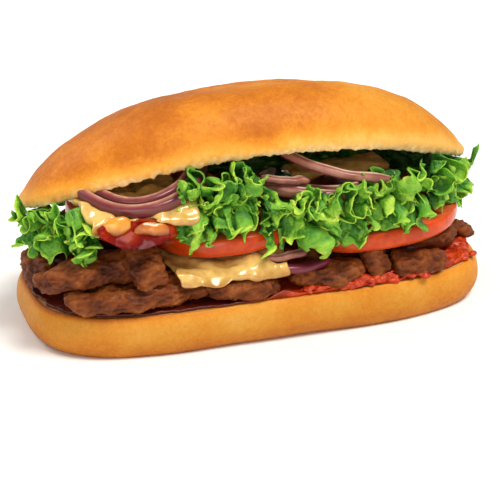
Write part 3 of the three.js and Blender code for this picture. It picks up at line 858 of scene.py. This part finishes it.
softPieces = {
    "cheese_lower": dict(voxel=0.7, rounds=24, rim=2, sag=0.8, seed=41),
    "cheese_upper": dict(voxel=0.7, rounds=8, rim=1.6, sag=0.6, seed=42),
    "cheese_back": dict(voxel=0.7, rounds=8, rim=1.2, sag=0.5, seed=43),
    "cheese_drop_left": dict(
        voxel=0.4, rounds=8, rim=0.9, sag=0.5, seed=44,
        material=dropMaterial, press=(1.05, 0.5, 0.85), sink=1.5,
    ),
    "cheese_drop_right": dict(
        voxel=0.4, rounds=8, rim=1.4, sag=0.8, seed=45,
        material=smearMaterial, press=(1.25, 0.4, 0.85), sink=1.9,
    ),
    "onion_petal": dict(
        voxel=0.4, rounds=5, rim=0.5, sag=0.2, seed=46,
        material=petalMaterial, slot="sauced_onion",
    ),
}


def buildSoft(
    node, voxel, rounds, rim, sag, seed,
    material=cheeseMaterial, slot="cheese", press=(1, 1, 1), sink=0,
):
    # its own solid, pressed about its middle and sunk backwards, with a wandering rim
    piece = softCopy(node, voxel, rounds, pieceName(node))
    middle = sum((v.co for v in piece.data.vertices), Vector()) / len(piece.data.vertices) / mm
    for vertex in piece.data.vertices:
        p = vertex.co / mm
        away = p - middle
        p = middle + Vector(a * b for a, b in zip(away, press)) + Vector((0, sink, 0))
        pull = Vector((lump(p, 9, seed), lump(p, 9, seed + 1), lump(p, 11, seed + 2)))
        vertex.co = (p + pull * rim) * mm
    piece.data.update()
    pushOut(piece, lambda p, normal: sag * lump(p, 7, seed + 3) + 0.3 * lump(p, 3.5, seed + 4) + 0.1)
    heights = [v.co.z / mm for v in piece.data.vertices]
    bottom, top = min(heights), max(heights)
    low = []
    for z, vertex in zip(heights, piece.data.vertices):
        drift = 0.8 * lump(vertex.co / mm, 3, seed)
        low.append(1 - smooth(bottom, mix(bottom, top, 0.6), z + drift))
    finishPiece(piece, {"low": low}, material, [node])


for name, values in softPieces.items():
    buildSoft(name, **values)
print("cheese melted")


# Tomato sauce on the cut face of the heel

sauce = {
    "film": 0.9,
    "gap": 0.4,
    "fromEnd": 4,  # how far its edge stays inside the heel's end, and its side
    "fromSide": 3.2,
    "edgeDrop": 0.5,
    "wells": [  # where it was squeezed out, and how high it stands there
        {"x": 44, "y": -40, "size": 4.5, "rise": 3.4},
        {"x": 24, "y": -40, "size": 4.2, "rise": 2.8},
        {"x": 56, "y": -39, "size": 4, "rise": 1.8},
        {"x": 74, "y": -33, "size": 5, "rise": 2},
        {"x": 88, "y": -12, "size": 6, "rise": 1.8},
        {"x": 2, "y": -40, "size": 4, "rise": 1.6},
        {"x": 33, "y": -40, "size": 5, "rise": 3.4},
        {"x": 82, "y": -24, "size": 8, "rise": 2.2},
        {"x": 33, "y": 40, "size": 5, "rise": 2.4},
        {"x": -26, "y": 40, "size": 5, "rise": 2},
    ],
    "sides": 600,
    "chunkSize": (0.7, 1.9),
    "chunkVoxel": 0.42,
    "chunkRounds": 3,
    "chunks": [
        {"x": (8, 62), "y": (-40.8, -37), "rise": 2, "count": 60},
        {"x": (24, 50), "y": (-41.2, -38), "rise": 3.6, "count": 40},
        {"x": (74, 88), "y": (-30, -6), "rise": 1.6, "count": 26},
        {"x": (-40, 40), "y": (37, 40.5), "rise": 1, "count": 24},
    ],
}


def sauceRing(share, isTop):
    ring = []
    for i in range(sauce["sides"]):
        angle = turn * i / sauce["sides"]
        halfLength = heel["halfLength"] - sauce["fromEnd"]
        halfDepth = heel["halfDepth"] - sauce["fromSide"]
        p = outlinePoint(halfLength, halfDepth, heel["squareness"], angle)
        p *= share * (1 + 0.016 * lump(p, 9, 11) + 0.008 * lump(p, 3, 12))
        floor = heel["height"] + sauce["gap"] * 0.5
        if not isTop:
            p.z = floor
            ring.append(p)
            continue
        rise = max(
            w["rise"] * math.exp(-((p.x - w["x"]) ** 2 + (p.y - w["y"]) ** 2) / w["size"] ** 2)
            for w in sauce["wells"]
        )
        chunky = 0.3 + 0.7 * min(1, rise)
        p.z = floor + sauce["film"] + rise + chunky * (lump(p, 3.4, 13) + 0.5 * lump(p, 1.6, 14))
        ring.append(p)
    return ring


def sauceChunks():
    # soft pieces of tomato in the sauce, thickest where it was squeezed out in front
    dice = random.Random(7)
    points, faces = [], []
    for spot in sauce["chunks"]:
        for i in range(spot["count"]):
            x = mix(*spot["x"], dice.random())
            y = mix(*spot["y"], dice.random())
            size = mix(*sauce["chunkSize"], dice.random() ** 1.6)
            centre = Vector((x, y, heel["height"] + 0.8 + spot["rise"] * dice.random()))
            work = bmesh.new()
            bmesh.ops.create_icosphere(work, subdivisions=3, radius=size)
            base = len(points)
            for vertex in work.verts:
                p = vertex.co * (1 + 0.3 * lump(vertex.co, size * 1.6, i + 1))
                points.append(centre + Vector((p.x * 1.25, p.y, p.z * 0.75)))
            faces += [tuple(base + v.index for v in face.verts) for face in work.faces]
            work.free()
    mesh = bpy.data.meshes.new("chunks")
    mesh.from_pydata([p * mm for p in points], [], faces)
    mesh = evenMesh(mesh, sauce["chunkVoxel"], sauce["chunkRounds"])
    return [v.co / mm for v in mesh.vertices], [tuple(f.vertices) for f in mesh.polygons]


def buildSauce():
    below = [0.5, 0.9, 0.985, 1]
    above = [
        1.002, 1, 0.996, 0.99, 0.982, 0.972, 0.96, 0.947, 0.933, 0.918,
        0.9, 0.88, 0.86, 0.83, 0.78, 0.7, 0.5,
    ]
    rings = [sauceRing(s, False) for s in below] + [sauceRing(s, True) for s in above]
    for p in rings[len(below)]:
        p.z -= sauce["edgeDrop"]
    faces = skinFaces(len(rings), sauce["sides"])
    points = withMiddles(rings)
    chunks, chunkFaces = sauceChunks()
    faces += [tuple(len(points) + v for v in face) for face in chunkFaces]
    points += chunks
    # darker towards the left end: partly darker juice, partly painted shade from the crown
    gravy = [0.9 * smooth(-12, 22, 5 * lump(p, 12, 17) - p.x) for p in points]
    makePiece("sauceLayer", points, faces, {"gravy": gravy}, sauceMaterial, ["sauce"])


buildSauce()
print("sauce spread")


# Curly lettuce, in three sheets to a leaf. The first one starts near the solid's root and has
# its large waves, a little shorter at the front. Finer curls that wander, blisters and a
# toothed frill are laid on them. At the back some of the others bend further or the other way

lettuce = {
    "thickness": 0.35,
    "columns": 122,
    "rows": 30,
    "curls": 1.8,  # finer waves for each large one, and how deep they are
    "curlDepth": 2.6,
    "frills": 5.3,
    "frillDepth": 0.9,
    "blisterSize": 4.6,
    "blisterDepth": 1.5,
    "teeth": 2.1,
    "leafGap": 2.8,  # how much higher the standing leaf of a clump starts than the hanging one
    # each sheet's share of the length, shift of the waves, and lift
    "sheets": [(1, 0, 0), (0.88, 0.37, 0.5), (0.66, 0.71, 1)],
    "clumps": {
        "lettuce_left": dict(
            root=((-84, 2, 47.4), (-69, -22, 48.8)), out=(-0.68, -0.73), length=17, spread=11,
            flare=3.8, waves=2.4, bends=(-72, 34), phase=0.1, seed=50,
        ),
        "lettuce_mid_left": dict(
            root=((-38, -20, 57), (-12, -20, 58)), out=(-0.04, -1), length=24.5, spread=6,
            flare=4.4, waves=2.2, bends=(-78, 60), phase=0.55, seed=53,
        ),
        "lettuce_mid_right": dict(
            root=((-4, -21, 50), (31, -21, 50)), out=(0, -1), length=24.5, spread=8, flare=4.4,
            waves=2.5, bends=(-84, 34), phase=0.15, seed=56,
        ),
        "lettuce_right": dict(
            root=((36, -21, 51), (58, -22, 51)), out=(0.08, -1), length=20, spread=6, flare=4.2,
            waves=1.8, bends=(-60, 60), phase=0.35, seed=59,
        ),
        "lettuce_right_end": dict(
            root=((60, -22, 50.5), (84, 6, 44.5)), out=(0.78, -0.62), length=16, spread=8,
            flare=4, waves=2.6, bends=(-66, 54), phase=0.3, seed=61,
        ),
        "lettuce_back_left": dict(
            root=((-36, 24, 56), (-74, 21, 53.8)), out=(0, 1), length=23, spread=6, flare=3.4,
            waves=3, bends=(-50,), phase=0.2, seed=64, shares=(1, 1.6, 1.9),
        ),
        "lettuce_back_middle": dict(
            root=((43, 24, 49.5), (-30, 24, 51)), out=(0, 1), length=24, spread=8, flare=3.6,
            waves=3, bends=(40,), phase=0.6, seed=65, shares=(1, -2.2, -1.6),
        ),
        "lettuce_back_right": dict(
            root=((86, 5, 44), (33, 25, 48.6)), out=(0.42, 0.9), length=20, spread=10,
            flare=3.6, waves=3, bends=(32,), phase=0.4, seed=66, shares=(1, 1.6, -1.3),
        ),
    },
}


def clearOfLayers(p):
    # off the tomato slices, and out from under the crown's cut face
    clear = 0.6
    for cut in tomato["slices"].values():
        x, y, z = cut["centre"]
        top = z + tomato["lean"] * (p.x - x) + tomato["thickness"] / 2 + clear
        if math.hypot(p.x - x, p.y - y) < cut["radius"] + clear and p.z > z - tomato["thickness"]:
            p.z = max(p.z, top)
    under = (p.x / crown["halfLength"]) ** 2 + ((p.y - crown["back"]) / crown["halfDepth"]) ** 2
    if under < 1.1:
        p.z = min(p.z, cutFaceHeight(p.x, p.y) - 1)
    return p


def bendLine(bend):
    steps = 160
    line = [(0, 0, 0)]
    for i in range(steps):
        angle = math.radians(bend) * smooth(0.1, 0.85, (i + 0.5) / steps)
        ahead, rise, _ = line[i]
        line.append((ahead + math.cos(angle) / steps, rise + math.sin(angle) / steps, angle))
    return lambda share: line[round(share * steps)]


def leafSheet(root, out, length, bend, spread, flare, waves, phase, seed):
    a, b = (Vector(p) for p in root)
    along = b - a
    width = along.length
    along.normalize()
    outwards = Vector((out[0], out[1], 0)).normalized()
    line = bendLine(bend)
    shown = 1 if bend < 0 else -1  # the side that blisters stand out on
    points, margin, crest = [], [], []
    rows, columns = lettuce["rows"], lettuce["columns"]
    profile = []
    for i in range(columns):
        u = i / (columns - 1)
        wave = turn * (waves * u + phase) + 1.1 * wander(u * 3, 0, 0, seed)
        ruffle = flare * (1 + 0.35 * wander(u * 4, 1, 0, seed))
        long = length * (1 + 0.12 * wander(u * 5, 2, 0, seed) + 0.06 * wander(u * width / 4.5, 7, 0, seed))
        tooth = 0.8 - 2.4 * abs(wander(u * width / 2.5, 8, 0, seed))
        tooth += 0.4 * wander(u * width / 1.5, 9, 0, seed)
        profile.append((u, wave, ruffle, long, tooth))
    for j in range(rows):
        v = (j / (rows - 1)) ** 0.8
        ahead, rise, angle = line(v)
        facing = outwards * -math.sin(angle) + up * math.cos(angle)
        onward = outwards * math.cos(angle) + up * math.sin(angle)
        for u, wave, ruffle, long, tooth in profile:
            q = Vector((u * width, v * length, seed * 5.3))
            curl = lettuce["curls"] * wave + 4 * lump(q, 14, 1) + 1.4 * lump(q, 6, 2)
            frill = lettuce["frills"] * wave + 5 * lump(q, 6, 3) - 2 * v
            large = ruffle * smooth(0.16, 0.9, v)
            middle = lettuce["curlDepth"] * smooth(0.15, 0.9, v) * max(0.2, 1 + 0.9 * lump(q, 11, 4))
            small = lettuce["frillDepth"] * smooth(0.55, 1, v) * max(0.1, 1 + 0.8 * lump(q, 7, 5))
            raised = abs(lump(q, lettuce["blisterSize"], 6))
            blister = lettuce["blisterDepth"] * raised * smooth(0.08, 0.4, v)
            swing = large * math.sin(wave) + middle * math.sin(curl) + small * math.sin(frill)
            swing += shown * blister
            swing += 0.45 * lump(q, 2.8, 9) * smooth(0.15, 0.5, v)
            p = a + along * (width * u + (u - 0.5) * spread * v)
            p -= along * (0.3 * large * math.sin(2 * wave) + 0.55 * middle * math.sin(2 * curl))
            p -= along * 0.6 * small * math.sin(2 * frill)
            p += outwards * long * ahead + up * long * rise + facing * swing
            reach = lettuce["teeth"] * smooth(0.85, 1, v) * tooth
            reach += 0.7 * middle * math.cos(curl) * smooth(0.4, 1, v)
            p += onward * reach
            loose = smooth(0.2, 1, v)
            p += Vector((lump(p, 12, 21), lump(p, 12, 22), lump(p, 12, 23))) * 1.5 * loose
            points.append(clearOfLayers(p))
            margin.append(0.7 * smooth(0.4, 1, v) ** 1.6 + 0.42 * smooth(0.92, 1, v))
            # painted shade in the folds and painted light on the crests and raised blisters
            folded = 0.45 * shown * (math.sin(curl) + 0.5 * math.sin(wave))
            crest.append(folded + 1.2 * raised)
    return points, margin, crest


def buildLeaf(node, root, length, bend, flare, phase, seed, shares=(1, 0.68, 0.3), **shape):
    rows, columns = lettuce["rows"], lettuce["columns"]
    points, faces, margin, crest = [], [], [], []
    for i, (lengthShare, shift, lift) in enumerate(lettuce["sheets"]):
        base = len(points)
        sheet = leafSheet(
            root=[(x, y, z + lift * (1 if bend < 0 else -1)) for x, y, z in root],
            length=length * lengthShare,
            bend=bend * shares[i],
            flare=flare * (1 - 0.12 * i),
            phase=phase + shift,
            seed=seed + 100 * i,
            **shape,
        )
        points += sheet[0]
        margin += sheet[1]
        crest += sheet[2]
        for row in range(rows - 1):
            for column in range(columns - 1):
                k = base + row * columns + column
                faces.append((k, k + 1, k + columns + 1, k + columns))
    notes = {"margin": margin, "crest": crest}
    piece = makePiece(pieceName(node), points, faces, notes, lettuceMaterial, [node])
    blade = piece.modifiers.new("blade", "SOLIDIFY")
    blade.thickness = lettuce["thickness"] * mm
    blade.offset = 0


for name, clump in lettuce["clumps"].items():
    leaf = dict(clump)
    bends = leaf.pop("bends")
    for i, bend in enumerate(bends):
        leaf["root"] = [(x, y, z + lettuce["leafGap"] * i) for x, y, z in clump["root"]]
        leaf["seed"] = clump["seed"] + i
        buildLeaf(name + (f"_{i + 1}" if len(bends) > 1 else ""), bend=bend, **leaf)
print("lettuce curled")


# The set: a pale floor, soft light and the camera

stage = {
    "floor": "f2f2f2",
    "world": "ffffff",
    "worldStrength": 0.3,
    "sun": {"place": (0.28, -0.36, 0.9), "softness": 28, "power": 3.3, "colour": "fffaf2"},
    "lights": {
        "fill": dict(place=(-0.42, -0.8, 0.2), size=0.6, power=3.9, colour="fff6ec"),
        "back": dict(place=(-0.6, 0.6, 0.7), size=0.5, power=5, colour="fffaf2"),
    },
    "camera": {
        "azimuth": -18.98, "elevation": 22.59, "distance": 850,
        "target": (-0.2, 0, 22.4), "lens": 149.4,
    },
}


def buildStage():
    mesh = bpy.data.meshes.new("floor")
    half = 3  # in metres, as the floor isn't made by makePiece
    corners = [(-half, -half, 0), (half, -half, 0), (half, half, 0), (-half, half, 0)]
    mesh.from_pydata(corners, [], [(0, 1, 2, 3)])
    floor = bpy.data.objects.new("floor", mesh)
    bpy.context.scene.collection.objects.link(floor)
    # Matt card, painted: it only has to catch a soft shadow
    material, tree, shader, place = startMaterial("paintedCard", Roughness=0.8)
    tone = addNode(tree, "ShaderNodeTexNoise", {"Vector": place, "Scale": perMm(300)})
    colour = addNode(tree, "ShaderNodeValToRGB", {"Fac": tone.outputs["Fac"]}, stops=[
        (0, stage["floor"]), (1, "f6f6f6"),
    ])
    tree.links.new(colour.outputs["Color"], shader.inputs["Base Color"])
    mesh.materials.append(material)

    world = bpy.data.worlds.new("softbox")
    world.use_nodes = True
    sky = world.node_tree.nodes["Background"]
    sky.inputs["Color"].default_value = linearFromHex(stage["world"])
    sky.inputs["Strength"].default_value = stage["worldStrength"]
    bpy.context.scene.world = world

    for name, values in [("sun", stage["sun"]), *stage["lights"].items()]:
        isSun = name == "sun"
        light = bpy.data.lights.new(name, "SUN" if isSun else "AREA")
        if isSun:
            light.angle = math.radians(values["softness"])
        else:
            light.size = values["size"]
        light.energy = values["power"]
        light.color = linearFromHex(values["colour"])[:3]
        lamp = bpy.data.objects.new(name, light)
        lamp.location = values["place"]
        aim = Vector((0, 0, 0.04)) - lamp.location
        lamp.rotation_euler = aim.to_track_quat("-Z", "Y").to_euler()
        bpy.context.scene.collection.objects.link(lamp)

    view = stage["camera"]
    a, e = math.radians(view["azimuth"]), math.radians(view["elevation"])
    away = Vector((math.sin(a) * math.cos(e), -math.cos(a) * math.cos(e), math.sin(e)))
    lens = bpy.data.cameras.new("camera")
    lens.lens = view["lens"]
    lens.sensor_width = 36
    lens.sensor_fit = "HORIZONTAL"
    lens.clip_start = 0.01
    camera = bpy.data.objects.new("camera", lens)
    camera.location = (Vector(view["target"]) + away * view["distance"]) * mm
    camera.rotation_euler = (-away).to_track_quat("-Z", "Y").to_euler()
    bpy.context.scene.collection.objects.link(camera)
    bpy.context.scene.camera = camera
    bpy.context.scene.view_settings.view_transform = "Standard"


buildStage()
print("stage set")
